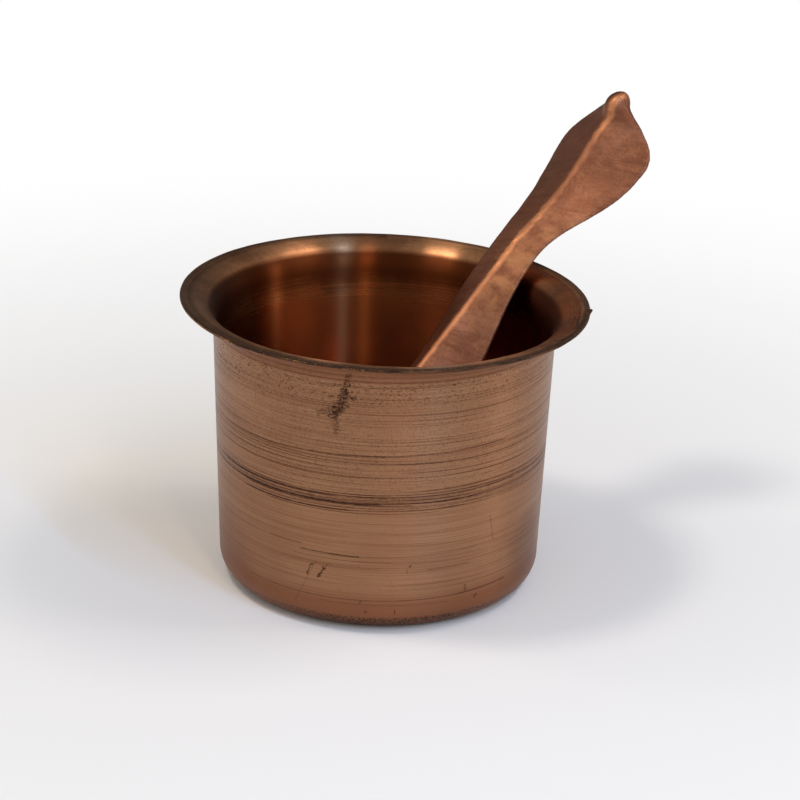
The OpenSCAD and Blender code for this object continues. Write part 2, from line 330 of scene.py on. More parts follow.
class StageSettings(bpy.types.PropertyGroup):
    """Camera, floor and light."""
    camera_rise: turn("Camera rise", "Angle of the camera above the horizon", 22.118)
    camera_roll: turn("Camera roll", "Roll of the camera", 1.769)
    camera_distance: length("Camera distance", "Distance of the camera from the middle of the cup", 0.623)
    focal: FloatProperty(name="Lens", description="Focal length", default=126.79, unit="CAMERA")
    floor: colour("Floor", "Pale floor", 246, 245, 243)
    shadow_reach: length("Shadow reach", "Distance up to which the floor keeps the cup's shadow", 60 * MM)
    white_from: length("White from", "Distance from the cup at which the floor is white", 320 * MM)
    room: colour("Room", "Light of the room round the cup", 226, 226, 226)
    ceiling: colour("Ceiling", "Light of the room above", 158, 158, 158)
    shade: colour("Shaded room", "Light of the room behind the cup", 112, 111, 110)


class Shade:
    """A socket of a finish, with arithmetic that adds Math nodes."""

    def __init__(self, finish, socket):
        self.finish = finish
        self.socket = socket

    def math(self, operation, *others):
        return self.finish.math(operation, self, *others)

    def __add__(self, other):
        return self.math("ADD", other)

    def __radd__(self, other):
        return self.finish.math("ADD", other, self)

    def __sub__(self, other):
        return self.math("SUBTRACT", other)

    def __rsub__(self, other):
        return self.finish.math("SUBTRACT", other, self)

    def __mul__(self, other):
        return self.math("MULTIPLY", other)

    def __rmul__(self, other):
        return self.finish.math("MULTIPLY", other, self)

    def __truediv__(self, other):
        return self.math("DIVIDE", other)

    def __rtruediv__(self, other):
        return self.finish.math("DIVIDE", other, self)

    def __pow__(self, other):
        return self.math("POWER", other)

    def __rpow__(self, other):
        return self.finish.math("POWER", other, self)

    def __neg__(self):
        return self.finish.math("MULTIPLY", self, -1)

    def __abs__(self):
        return self.math("ABSOLUTE")


class Finish:
    """A node tree that is written as expressions, and the paint that is laid on coat by coat."""

    def __init__(self, tree):
        self.tree = tree
        self.paint = None
        tree.nodes.clear()

    def node(self, kind, settings=None, sockets=None, out=0):
        """Add a node, set it up, fill its sockets with values or links, and return one output."""
        made = self.tree.nodes.new(kind)
        for key, value in (settings or {}).items():
            setattr(made, key, value)
        for key, value in (sockets or {}).items():
            if isinstance(value, Shade):
                self.tree.links.new(value.socket, made.inputs[key])
            else:
                made.inputs[key].default_value = value
        return Shade(self, made.outputs[out]) if len(made.outputs) else None

    def math(self, operation, *values):
        """A Math node on sockets or numbers."""
        return self.node("ShaderNodeMath", {"operation": operation}, dict(enumerate(values)))

    def vector(self, operation, *values, out=0):
        """A Vector Math node on sockets or vectors."""
        return self.node("ShaderNodeVectorMath", {"operation": operation}, dict(enumerate(values)), out)

    def scaled(self, vector, scale):
        """A vector times a number."""
        return self.node("ShaderNodeVectorMath", {"operation": "SCALE"}, {0: vector, "Scale": scale})

    def split(self, vector):
        """The three numbers of a vector."""
        made = self.node("ShaderNodeSeparateXYZ", sockets={0: vector}).socket.node
        return [Shade(self, socket) for socket in made.outputs]

    def join(self, x, y, z):
        """A vector of three numbers."""
        return self.node("ShaderNodeCombineXYZ", sockets={0: x, 1: y, 2: z})

    def noise(self, place, scale, detail=2.0, roughness=0.5, out=0):
        """Cloudy noise, drawn out along the axes where three scales are given."""
        if isinstance(scale, tuple):
            place = self.vector("MULTIPLY", place, scale)
            scale = 1.0
        return self.node("ShaderNodeTexNoise", sockets={
            "Vector": place, "Scale": scale, "Detail": detail, "Roughness": roughness}, out=out)

    def smooth(self, value, low, high):
        """0 below low, 1 above high, smooth between, or the other way round where high is below low."""
        ends = (low, high, 0.0, 1.0) if low < high else (high, low, 1.0, 0.0)
        return self.node("ShaderNodeMapRange", {"interpolation_type": "SMOOTHSTEP"},
                         dict(enumerate((value, *ends))))

    def mix(self, mask, below, above):
        """The colour below where the mask is 0 and above where it is 1."""
        def solid(paint):
            return paint if isinstance(paint, Shade) else (*paint, 1.0)
        return self.node("ShaderNodeMix", {"data_type": "RGBA"},
                         {0: mask, 6: solid(below), 7: solid(above)}, 2)

    def coat(self, mask, paint):
        """Lay a colour over the paint so far."""
        self.paint = self.mix(mask, self.paint, paint)

    def metal(self, roughness, relief, strength, depth, sockets):
        """End the finish with a metal shader of this paint, roughness and relief, and other sockets."""
        bump = self.node("ShaderNodeBump", sockets={
            "Strength": strength, "Distance": depth, "Height": relief})
        shader = self.node("ShaderNodeBsdfPrincipled", sockets={
            "Base Color": self.paint, "Roughness": roughness, "Normal": bump, **sockets})
        self.node("ShaderNodeOutputMaterial", sockets={"Surface": shader})


class CupFinish(Finish):
    """A finish that knows its place on the cup, in millimetres and in degrees from the front."""

    def __init__(self, tree):
        super().__init__(tree)
        self.place = self.scaled(self.node("ShaderNodeTexCoord", out="Object"), 1 / MM)
        self.x, self.y, self.z = self.split(self.place)
        self.radius = (self.x * self.x + self.y * self.y) ** 0.5
        self.angle = self.math("ARCTAN2", self.x, -self.y) * math.degrees(1)

    def patch(self, oval, height):
        """Mask of a soft oval patch, by angle and by height or radius."""
        aside = (self.angle - oval.angle) / oval.half_angle
        above = (height - oval.middle) / oval.half_size
        return self.smooth(aside * aside + above * above, 1.0, 0.0)

    def strokes(self, place, marks):
        """Darkest of several marks."""
        darkest = 0.0
        for mark in marks:
            darkest = self.math("MAXIMUM", darkest, self.stroke(place, mark) * mark.tone)
        return darkest

    def stroke(self, place, mark):
        """Mask of a straight mark on the unrolled wall, soft at its sides."""
        start = Vector((mark.start_angle * MM_PER_DEGREE, mark.start, 0))
        run = Vector((mark.end_angle * MM_PER_DEGREE, mark.end, 0)) - start
        off = self.vector("SUBTRACT", place, start)
        share = self.vector("DOT_PRODUCT", off, run / run.length_squared, out="Value")
        nearest = self.scaled(run, self.node("ShaderNodeClamp", sockets={0: share}))
        gap = self.vector("DISTANCE", off, nearest, out="Value")
        return self.smooth(gap, mark.half_width, mark.half_width * MARK_CORE)


class WallFinish(CupFinish):
    """Lathe-spun copper outside the cup."""

    def __init__(self, tree):
        super().__init__(tree)
        self.fine = self.noise(self.place, (0.03, 0.03, 5.5), 2, 0.6)
        self.lines = self.noise(self.place, (0.018, 0.018, 3.4), 3, 0.6)
        self.specks = self.noise(self.place, (1.3, 1.3, 3.2), 3, 0.7)
        self.dust = self.noise(self.place, 2.6, 3, 0.7)
        grain = self.noise(self.place, (0.8, 0.8, 5.0), 3, 0.7)
        self.broken = self.smooth(grain, 0.36, 0.58)
        self.upper = self.smooth(self.z, *UPPER_WALL)
        self.fine_mask = self.smooth(self.fine, 0.42, 0.64)
        strength = 0.25 + self.upper * 0.45 + self.broken * 0.3
        self.line_mask = self.smooth(self.lines, 0.54, 0.64) * strength

    def lay_lines(self, cup):
        """Rubbed copper with ruddy clouds, under fine turned lines and dust that darken up the wall."""
        bands = self.noise(self.place, (0.015, 0.015, 0.3))
        cloud = self.noise(self.place, 0.06, 3, 0.55)
        self.paint = cup.copper
        self.coat(self.smooth(bands * 0.5 + cloud * 0.5, 0.40, 0.66) * 0.30, cup.ruddy)
        self.coat(self.fine_mask * 0.48, cup.ruddy)
        self.coat(self.line_mask * 0.55, cup.brown)
        self.coat(self.smooth(self.dust, 0.50, 0.68) * (0.15 + self.upper * 0.35), cup.brown)

    def lay_tones_and_low_shade(self, cup):
        """Painted shade low down in a redder, darker copper, redder copper under the lip and on the left,
        and browner copper low on the right.
        """
        low = self.smooth(self.z, *LOW_WALL)
        top = self.smooth(self.z, *WALL_TOP)
        # The share from low down is painted shade that stands in for the shadowed floor reflected in the
        # wall.
        self.coat(low * 0.85 + top * 0.6 + self.patch(LEFT_RUDDY, self.z) * 0.7, cup.ruddy)
        self.coat(self.patch(RIGHT_TARNISH, self.z) * 0.35, cup.brown)

    def lay_pits(self, cup):
        """Pits in a band under the lip, further down on the left and a few over the upper wall."""
        rows = self.smooth(self.z, *PIT_ROWS) * self.smooth(self.z, *PIT_ROWS_END)
        left = self.smooth(self.z, *LEFT_PITS) * self.smooth(self.angle, *LEFT_PITS_ANGLE)
        rows = rows + left * 0.5 + self.upper * 0.2
        self.pits = self.smooth(self.specks * 0.75 + self.lines * 0.25, 0.52, 0.63) * rows
        self.coat(self.pits * 0.75, cup.brown)

    def lay_marks(self, cup):
        """Ragged stains and dabs, and straight scratches."""
        jitter = self.vector("SUBTRACT", self.noise(self.place, 1.1, out="Color"), (0.5, 0.5, 0.5))
        straight = self.join(self.angle * MM_PER_DEGREE, self.z, 0.0)
        ragged = self.vector("MULTIPLY_ADD", jitter, RAGGED, straight)
        self.stains = self.strokes(ragged, STAINS)
        blotches = self.specks * 0.6 + self.dust * 0.4 + self.stains * 0.08
        self.coat(self.stains * self.smooth(blotches, 0.46, 0.62), cup.stain)
        marks = self.math("MAXIMUM", self.strokes(straight, SCRATCHES), self.strokes(ragged, DABS))
        self.marks = marks * (0.55 + self.broken * 0.45)
        self.coat(self.marks, cup.stain)

    def lay_soot(self, cup):
        """Brown and then black in the grooves, and black grit round the foot."""
        groove = self.node("ShaderNodeAttribute", {"attribute_name": "groove"}, out="Fac")
        grime = groove * (0.4 + self.broken * 0.35 + self.fine_mask * 0.5)
        self.sooty = self.smooth(grime, 0.30, 1.05)
        self.coat(self.smooth(grime, 0.06, 0.55) * 0.8, cup.brown)
        self.coat(self.sooty, cup.soot)
        grit = self.smooth(self.dust, 0.43, 0.56) * (0.45 + self.patch(FOOT_GRIT, self.z) * 0.5)
        self.coat(self.smooth(self.z, *FOOT_SOOT) * self.smooth(self.radius, *FOOT_RING) * grit, cup.soot)

    def lay_edge(self, cup):
        """Thin seams under the lip, its dark edge and a painted golden highlight under the edge, broken
        into patches.
        """
        seams = 0.0
        for seam in SEAMS:
            seams = seams + self.smooth(abs(self.z - seam.height), seam.half_width, seam.core) * seam.tone
        self.coat(seams * (0.2 + self.broken * 0.45), cup.brown)
        self.edge = self.smooth(self.radius, *LIP_EDGE)
        self.coat(self.edge * (0.8 + self.broken * 0.2), cup.rim)
        # Painted highlight: a golden line under the edge, strongest at the front and broken into patches.
        under = self.smooth(self.z + self.x * cup.lip_skew, *EDGE_UNDERSIDE)
        under = under * (0.2 + self.smooth(self.angle, *EDGE_GLINT_ANGLE) * 0.8)
        glint_amount = self.noise(self.join(self.angle, self.z, 0.0), (0.07, 0.4, 0.0), 4, 0.6)
        rubbed = self.smooth(glint_amount * 0.6 + self.dust * 0.4, 0.46, 0.58)
        self.coat(self.edge * under * rubbed, cup.painted_edge_glint)


class InnerFinish(CupFinish):
    """Redder, shinier copper inside, turned in fine rings, under a browner lip with a dark rim."""

    def __init__(self, tree):
        super().__init__(tree)
        self.rings = self.noise(self.join(self.x, self.y, self.z + self.radius), (0.02, 0.02, 4.0), 3, 0.6)
        self.cloud = self.noise(self.place, 0.09, 4, 0.6)
        self.grain = self.noise(self.place, 1.2, 4, 0.7)
        self.ring_mask = self.smooth(self.rings, 0.48, 0.68)
        self.lip = self.smooth(self.radius, *LIP_TOP)

    def lay_copper(self, cup):
        """Red copper below and paler copper on the lip, with rings, clouds and painted shade in the turn
        between them.
        """
        self.paint = cup.inner
        self.coat(self.lip, cup.lip)
        self.coat(self.ring_mask * (0.06 + self.lip * 0.35), cup.ruddy)
        self.coat(self.smooth(self.cloud, 0.42, 0.62) * (0.3 + self.lip * 0.3), cup.ruddy)
        # Painted shade: the turn of the lip is painted dark red, with a ragged lower border.
        ragged = self.z + (self.rings - 0.5) * 9 + (self.cloud - 0.5) * 8
        self.turned = self.smooth(self.radius, *LIP_TURN_RADIUS) * self.smooth(ragged, *LIP_TURN_HEIGHT)
        self.coat(self.turned * 0.9, cup.painted_turn_shade)

    def lay_lip(self, cup):
        """Brown grain on the lip, its dark rim with painted shade that widens and darkens it on the left, a
        smudge on the right and matt oxide.
        """
        grainy = self.patch(LIP_GRAIN, self.radius) * 0.6 + 0.25
        self.coat(self.smooth(self.grain, 0.48, 0.66) * self.lip * grainy, cup.brown)
        # Painted shade: the rim reaches further in and is darker on the left.
        shaded = self.smooth(self.angle, *LIP_SHADED_ANGLE)
        self.rim = self.smooth(self.radius + shaded * 0.9, *RIM)
        self.coat(self.rim * (0.35 + self.ring_mask * 0.4 + shaded * 0.25), cup.rim)
        smears = self.noise(self.join(self.angle, self.radius, self.z), (0.11, 1.3, 0.4), 4, 0.65)
        self.smudge = self.smooth(smears, 0.48, 0.60) * self.patch(LIP_SMUDGE, self.radius)
        self.coat(self.smudge * 0.65, cup.rim)
        oxide = self.smooth(self.radius, *RIM_OXIDE) * (0.7 + self.patch(LIP_FRONT, self.radius) * 0.3)
        self.oxide = oxide * self.smooth(self.grain, 0.64, 0.52)
        self.coat(self.oxide * 0.9, cup.rim)


class SpoonFinish(Finish):
    """Hammered copper, placed in millimetres along, across and above the spoon."""

    def __init__(self, tree):
        super().__init__(tree)
        place = self.node("ShaderNodeAttribute", {"attribute_name": "shaft"}, out="Vector")
        self.along, self.across, up = self.split(place)
        self.cloud = self.noise(place, 0.14, 4, 0.6)
        self.hammer = self.noise(place, 0.35)
        self.grain = self.noise(place, 1.6, 3, 0.6)
        blooming = self.join(self.along * 0.2 + 7, self.across * 0.14, up * 0.14)
        self.bloom = self.noise(blooming, 1.0, 5, 0.65)
        crosswise = self.join(self.along * 0.7 + self.across * 0.25, self.across * 0.06, up * 0.1)
        self.streaks = self.noise(crosswise, 1.0, 3, 0.6)

    def stretch(self, start, end):
        """Mask of a stretch of the spoon."""
        return self.smooth(self.along, *start) * self.smooth(self.along, *end)

    def lay_clouds(self, spoon):
        """Copper with darker clouds, streaks and grain, pink bloom and golden flecks."""
        self.paint = spoon.copper
        self.coat(self.smooth(self.cloud, 0.40, 0.66) * 0.55, spoon.clouded)
        self.coat(self.smooth(self.bloom, 0.44, 0.76) * 0.6, spoon.bloom)
        self.coat(self.smooth(self.streaks, 0.50, 0.66) * 0.7, spoon.clouded)
        self.coat(self.smooth(self.grain, 0.50, 0.66) * 0.5, spoon.clouded)
        self.coat(self.smooth(self.grain * 0.35 + self.hammer * 0.65, 0.48, 0.30) * 0.4, spoon.golden)

    def lay_facets(self, spoon):
        """A golden stretch on the right facet, painted shade on the left facet, and a darker hood."""
        golden = self.stretch(GOLDEN_START, GOLDEN_END) * self.smooth(self.across, *RIGHT_FACET)
        self.coat(golden * self.smooth(self.bloom, 0.40, 0.60) * 0.5, spoon.golden)
        hood = self.smooth(self.along, *HOOD_START) * 0.2
        # Painted shade on the left facet, and a darker hood.
        self.coat(self.smooth(self.across, *LEFT_FACET) * 0.45 + hood, spoon.clouded)

    def lay_ridge(self, spoon):
        """A painted highlight along a wandering ridge, strongest at the neck, that bends to the right over
        the nub, and painted shade on the nub's sides.
        """
        # Painted highlight along the ridge, strongest at the neck and carried over the middle of the nub.
        wander = self.across + (self.hammer - 0.5) * 1.4 + self.smooth(self.along, *RIDGE_BEND) * 1.2
        ridge = self.smooth(wander, 0.7, 0.3) * self.smooth(wander, -1.5, -0.1)
        glint_amount = self.smooth(self.along, *RIDGE_END) * 0.28 + self.smooth(self.along, *HANDLE_END) * 0.25
        glint_amount = glint_amount + self.stretch(NECK_START, NECK_END) * 0.5
        self.bright = ridge * self.smooth(self.along, *RIDGE_START) * glint_amount
        self.coat(self.bright * (0.6 + self.grain * 0.8), spoon.ridge)
        crown = self.smooth(abs(wander), 1.3, 0.2) * self.smooth(self.along, *CROWN_START)
        self.coat(crown * 0.4, spoon.ridge)
        # Painted shade on both sides of the nub.
        nub_side_shade = self.smooth(abs(wander), 0.6, 1.6) * self.smooth(self.along, *NUB_START)
        self.coat(nub_side_shade * 0.8, spoon.clouded)


def new_material(name, kind):
    """A material and its finish of the given kind."""
    material = bpy.data.materials.new(name)
    material.use_nodes = True
    return material, kind(material.node_tree)


def wall_copper(cup):
    """Copper with fine lines, pits, stains, scratches, sooty grooves, painted shade low down, and a dark
    edge with a painted golden highlight under it.
    """
    material, wall = new_material("wall_copper", WallFinish)
    wall.lay_lines(cup)
    wall.lay_tones_and_low_shade(cup)
    wall.lay_pits(cup)
    wall.lay_marks(cup)
    wall.lay_soot(cup)
    wall.lay_edge(cup)
    lines = wall.line_mask * 0.05 + wall.fine_mask * 0.05
    roughness = 0.40 + lines + wall.sooty * 0.2 + wall.pits * 0.1 + wall.stains * 0.1 + wall.edge * 0.25
    relief = wall.fine * 0.4 + wall.lines * 0.6 - wall.pits * 0.4 - wall.marks * 0.4
    wall.metal(roughness, relief, strength=0.3, depth=0.1 * MM, sockets={
        "Metallic": 1 - wall.edge * 0.8, "Specular IOR Level": 0.1,
        "Anisotropic": 0.8, "Anisotropic Rotation": 0.25})
    return material


def inner_copper(cup):
    """Red copper in fine rings below a tarnished lip."""
    material, inner = new_material("inner_copper", InnerFinish)
    inner.lay_copper(cup)
    inner.lay_lip(cup)
    roughness = 0.22 + inner.ring_mask * 0.02 + inner.lip * 0.08 + inner.rim * 0.14
    roughness = roughness + inner.turned * 0.15 + inner.smudge * 0.1
    relief = inner.rings + inner.grain * inner.lip * 0.15
    inner.metal(roughness, relief, strength=0.08, depth=0.1 * MM, sockets={
        "Metallic": 1 - inner.oxide * 0.85, "Specular IOR Level": 0.1,
        "Specular Tint": (0.96, 0.90, 0.86, 1), "Anisotropic": 1.0, "Anisotropic Rotation": 0.25})
    return material


def spoon_copper(spoon):
    """Hammered copper with soft tarnish and streaks across the facets, a painted highlight along the ridge,
    and painted shade on the left facet and the nub's sides.
    """
    material, sheet = new_material("spoon_copper", SpoonFinish)
    sheet.lay_clouds(spoon)
    sheet.lay_facets(spoon)
    sheet.lay_ridge(spoon)
    roughness = 0.54 + (sheet.cloud - 0.5) * 0.25 - sheet.bright * 0.2
    relief = sheet.hammer * 0.8 + sheet.streaks * 0.3 + sheet.grain * 0.2
    sheet.metal(roughness, relief, strength=0.5, depth=0.2 * MM, sockets={"Metallic": 1.0})
    return material


def pale_floor(stage):
    """Plain matt floor that fades to a white backdrop away from the cup."""
    material, finish = new_material("pale_floor", Finish)
    place = finish.node("ShaderNodeTexCoord", out="Object")
    away = finish.vector("LENGTH", place, out="Value")
    far = finish.smooth(away, stage.shadow_reach, stage.white_from)
    matt = finish.node("ShaderNodeBsdfPrincipled", sockets={
        "Base Color": (*stage.floor, 1), "Roughness": 0.9, "Specular IOR Level": 0.1})
    white = finish.node("ShaderNodeEmission", sockets={"Color": (1, 1, 1, 1), "Strength": 1.0})
    path = finish.node("ShaderNodeLightPath").socket.node
    seen = 0.0
    for ray in ("Is Camera Ray", "Is Glossy Ray", "Is Transmission Ray"):
        seen = finish.math("MAXIMUM", seen, Shade(finish, path.outputs[ray]))
    ground = finish.node("ShaderNodeMixShader", sockets={0: far * seen, 1: matt, 2: white})
    finish.node("ShaderNodeOutputMaterial", sockets={"Surface": ground})
    return material


def add_object(name, mesh):
    """A new object at the origin from a bmesh, which is freed."""
    if not mesh.faces:
        raise RuntimeError(f"{name} has no faces")
    data = bpy.data.meshes.new(name)
    mesh.to_mesh(data)
    mesh.free()
    made = bpy.data.objects.new(name, data)
    bpy.context.scene.collection.objects.link(made)
    return made


def piece(name, mesh, *materials):
    """A smooth piece with its materials."""
    for face in mesh.faces:
        face.smooth = True
    made = add_object(name, mesh)
    for material in materials:
        made.data.materials.append(material)
    return made


def fused(mesh, grain, passes):
    """One even skin round all the shapes in a bmesh, smoothed a few times."""
    made = add_object("fused", mesh)
    data = made.data
    skin = made.modifiers.new("skin", "REMESH")
    skin.mode = "VOXEL"
    skin.voxel_size = grain
    easing = made.modifiers.new("easing", "SMOOTH")
    easing.iterations = passes
    mesh = bmesh.new()
    mesh.from_object(made, bpy.context.evaluated_depsgraph_get())
    bpy.data.objects.remove(made)
    bpy.data.meshes.remove(data)
    return mesh


class Section:
    """The outline of a turned piece, drawn in the plane of radius and height from one starting point."""

    def __init__(self, mesh, start):
        self.mesh = mesh
        self.pen = mesh.verts.new((start[0], 0, start[1]))

    def line(self, end, step):
        """Draw straight to a point, in pieces no longer than the step."""
        end = Vector((end[0], 0, end[1]))
        start = self.pen.co.copy()
        pieces = max(1, math.ceil((end - start).length / step))
        for _ in range(pieces):
            drawn = bmesh.ops.extrude_vert_indiv(self.mesh, verts=[self.pen])
            self.pen = drawn["verts"][0]
            bmesh.ops.translate(self.mesh, verts=[self.pen], vec=(end - start) / pieces)

    def arc(self, centre, angle, steps):
        """Draw an arc about a centre, anticlockwise where the angle is above zero."""
        drawn = bmesh.ops.spin(self.mesh, geom=[self.pen], cent=(centre[0], 0, centre[1]),
                               axis=(0, -1, 0), angle=angle, steps=steps)
        self.pen = next(item for item in drawn["geom_last"] if isinstance(item, bmesh.types.BMVert))


def on_circle(centre, radius, angle):
    """A point of the section on a circle."""
    return (centre[0] + radius * math.cos(angle), centre[1] + radius * math.sin(angle))


def ease(low, high, value):
    """0 at low and 1 at high, smooth between."""
    share = min(max((value - low) / (high - low), 0), 1)
    return share * share * (3 - 2 * share)


def lip_centre(cup, taper, edge):
    """Centre of the turn under the lip, which touches the wall and the straight run to the lip's edge."""
    foot = cup.wall_base + cup.lip_turn / math.cos(taper)
    middle = cup.lip_turn + cup.sheet / 2
    reach = edge[0] - foot + middle * math.sin(cup.lip_rise)
    height = (edge[1] - middle * math.cos(cup.lip_rise) - reach * math.tan(cup.lip_rise)) / (
        1 - math.tan(taper) * math.tan(cup.lip_rise))
    return (foot + height * math.tan(taper), height)


def draw_cup_section(mesh, cup):
    """The cup's sheet in section: along the base, up the wall, over the lip and back down inside."""
    taper = math.atan((cup.wall_top - cup.wall_base) / cup.height)
    base_c = (cup.wall_base + cup.base_turn * (math.tan(taper) - 1 / math.cos(taper)), cup.base_turn)
    edge_r = cup.sheet / 2
    edge_c = (cup.lip_radius - edge_r, cup.height - edge_r)
    lip_c = lip_centre(cup, taper, edge_c)
    lip_angle = QUARTER + cup.lip_rise
    wall_angle = 2 * QUARTER - taper

    outline = Section(mesh, (0, 0))
    outline.line((base_c[0], 0), FLAT_STEP)
    outline.arc(base_c, QUARTER - taper, BASE_ARC)
    for top, step in WALL_STEPS:
        outline.line((cup.wall_base + top * math.tan(taper), top), step)
    outline.line(on_circle(lip_c, cup.lip_turn, wall_angle), LIP_STEP)
    outline.arc(lip_c, lip_angle - wall_angle, LIP_ARC)
    outline.line(on_circle(edge_c, edge_r, lip_angle - 2 * QUARTER), LIP_STEP)
    outline.arc(edge_c, 2 * QUARTER, EDGE_ARC)
    outline.line(on_circle(lip_c, cup.lip_turn + cup.sheet, lip_angle), LIP_STEP)
    outline.arc(lip_c, wall_angle - lip_angle, INNER_LIP_ARC)
    outline.line(on_circle(base_c, cup.base_turn - cup.sheet, -taper), INNER_STEP)
    outline.arc(base_c, taper - QUARTER, INNER_BASE_ARC)
    outline.line((0, cup.sheet), FLAT_STEP)


def is_inside(face):
    """Whether a face of the cup looks up or towards the axis."""
    middle = face.calc_center_median()
    out = Vector((middle.x, middle.y, 0)).normalized()
    return face.normal.z > face.normal.dot(out)


def groove_at(x, height, angle):
    """Depth and darkness of the lathe grooves at a place on the wall, all in millimetres and degrees."""
    depth = tone = 0
    for groove in GROOVES:
        off = (height - groove.height - groove.rise * x) / groove.half_width
        if abs(off) >= 1:
            continue
        shown = ease(groove.start - GROOVE_FADE, groove.start + GROOVE_FADE, angle)
        shown *= ease(groove.end + GROOVE_FADE, groove.end - GROOVE_FADE, angle)
        if groove.end - groove.start == FULL_TURN:
            shown = 1
        shape = (1 - off * off) ** 2 * shown
        depth = max(depth, groove.depth * shape)
        tone = max(tone, groove.tone * shape)
    return depth, tone


def wear_cup(mesh, cup):
    """Cut the grooves into the wall, skew and ripple the lip and raise its burr."""
    tones = mesh.verts.layers.float.new("groove")
    for vert in mesh.verts:
        radius = vert.co.xy.length
        if radius < AXIS_REACH:
            continue
        out = Vector((vert.co.x, vert.co.y, 0)) / radius
        angle = math.atan2(vert.co.x, -vert.co.y)
        wall_r = cup.wall_base + (cup.wall_top - cup.wall_base) * vert.co.z / cup.height
        if abs(radius - wall_r) < WALL_REACH:
            depth, vert[tones] = groove_at(vert.co.x / MM, vert.co.z / MM, math.degrees(angle))
            vert.co -= out * depth * MM
        lip = ease(cup.height * SKEW_START, cup.height * SKEW_FULL, vert.co.z)
        ripple = sum(noise.noise(out * waves) * height for waves, height in RIPPLES)
        vert.co.z += lip * (ripple - cup.lip_skew * vert.co.x)
        edge = ease(cup.lip_radius - EDGE_WIDTH, cup.lip_radius, radius)
        torn = edge * max(0, 1 - abs(angle - cup.burr_angle) / BURR_HALF_ANGLE)
        vert.co += (out * BURR_LEAN + Vector((0, 0, BURR_LEAN))) * cup.burr * torn


class PANCHPATRA_OT_cup(bpy.types.Operator):
    """Spin the cup from its section and give it its lathe-marked copper"""
    bl_idname = "panchpatra.cup"
    bl_label = "Spin cup"

    def execute(self, context):
        cup = context.scene.panchpatra_cup
        mesh = bmesh.new()
        draw_cup_section(mesh, cup)
        bmesh.ops.spin(mesh, geom=mesh.verts[:] + mesh.edges[:], cent=(0, 0, 0), axis=(0, 0, 1),
                       angle=math.tau, steps=SPIN_STEPS, use_merge=True)
        bmesh.ops.remove_doubles(mesh, verts=mesh.verts, dist=MERGE_GAP)
        bmesh.ops.recalc_face_normals(mesh, faces=mesh.faces)
        mesh.normal_update()
        for face in mesh.faces:
            face.material_index = int(is_inside(face))
        wear_cup(mesh, cup)
        made = piece("spun_cup", mesh, wall_copper(cup), inner_copper(cup))
        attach(made, "cup")
        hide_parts("cup")
        return {"FINISHED"}


class Shaft:
    """The spoon's own axes: its length along X, its width along Y to the left and its ridge up along Z."""

    def __init__(self, mesh, spoon):
        roll = Matrix.Rotation(-spoon.roll, 3, "X")
        lean = Matrix.Rotation(spoon.lean, 3, "Y")
        self.onto = roll @ lean @ Matrix.Rotation(-spoon.plan_turn, 3, "Z")
        self.back = self.onto.inverted()
        self.places = [self.onto @ vert.co for vert in mesh.verts]
        lows = [min(place[axis] for place in self.places) for axis in range(3)]
        highs = [max(place[axis] for place in self.places) for axis in range(3)]
        self.tip = highs[0]
        self.middle = (lows[1] + highs[1]) / 2
        self.start = Vector((lows[0], self.middle, highs[2]))


def widen(mesh, shaft, spoon):
    """Allow for the rounding of the edges, and make the hood fuller on its right."""
    for vert, place in zip(mesh.verts, shaft.places):
        side = 1 if place.y < shaft.middle else HOOD_LEFT_SHARE
        hood = ease(HOOD_REACH, 0, abs(place.x - shaft.tip + HOOD_FROM_TIP)) * spoon.hood_shift * side
        aside = (place.y - shaft.middle) * (spoon.edge_allowance + hood - 1)
        vert.co += shaft.back @ Vector((0, aside, 0))


def add_nub(mesh, shaft, spoon):
    """Set a long ball into the tip."""
    ends = [place for place in shaft.places if place.x > shaft.tip - 2 * spoon.nub]
    nub = sum(ends, Vector()) / len(ends) + Vector((-NUB_BACK, 0, spoon.nub_rise))
    stretch = Matrix.Diagonal((NUB_STRETCH, 1, 1, 1))
    bmesh.ops.create_icosphere(
        mesh, subdivisions=3, radius=spoon.nub,
        matrix=shaft.back.to_4x4() @ Matrix.Translation(nub) @ stretch)


def smooth_tip(mesh, shaft):
    """Smooth the hood into the nub, more often the nearer to the tip."""
    for share in range(TIP_PASSES):
        reach = shaft.tip - (TIP_REACH - TIP_STEP * share)
        near = [vert for vert in mesh.verts if (shaft.onto @ vert.co).x > reach]
        bmesh.ops.smooth_vert(mesh, verts=near, factor=0.5,
                              use_axis_x=True, use_axis_y=True, use_axis_z=True)


def hammer(mesh, shaft, spoon):
    """Dent the sheet, and keep each point's place along, across and above the spoon for the finish."""
    layer = mesh.verts.layers.float_vector.new("shaft")
    mesh.normal_update()
    for vert in mesh.verts:
        vert[layer] = (shaft.onto @ vert.co - shaft.start) / MM
        dents = sum(noise.noise(vert[layer] * waves) * share for waves, share in DENTS)
        vert.co += vert.normal * spoon.dent * dents


class PANCHPATRA_OT_spoon(bpy.types.Operator):
    """Round the spoon's edges and nub, hammer its facets and give it its clouded copper"""
    bl_idname = "panchpatra.spoon"
    bl_label = "Forge spoon"

    def execute(self, context):
        spoon = context.scene.panchpatra_spoon
        mesh = bmesh.new()
        mesh.from_mesh(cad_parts["spoon"].data)
        bmesh.ops.remove_doubles(mesh, verts=mesh.verts, dist=MERGE_GAP)
        shaft = Shaft(mesh, spoon)
        widen(mesh, shaft, spoon)
        add_nub(mesh, shaft, spoon)
        mesh = fused(mesh, SKIN_GRAIN, SKIN_PASSES)
        smooth_tip(mesh, shaft)
        hammer(mesh, shaft, spoon)
        made = piece("forged_spoon", mesh, spoon_copper(spoon))
        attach(made, "spoon")
        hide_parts("spoon")
        return {"FINISHED"}


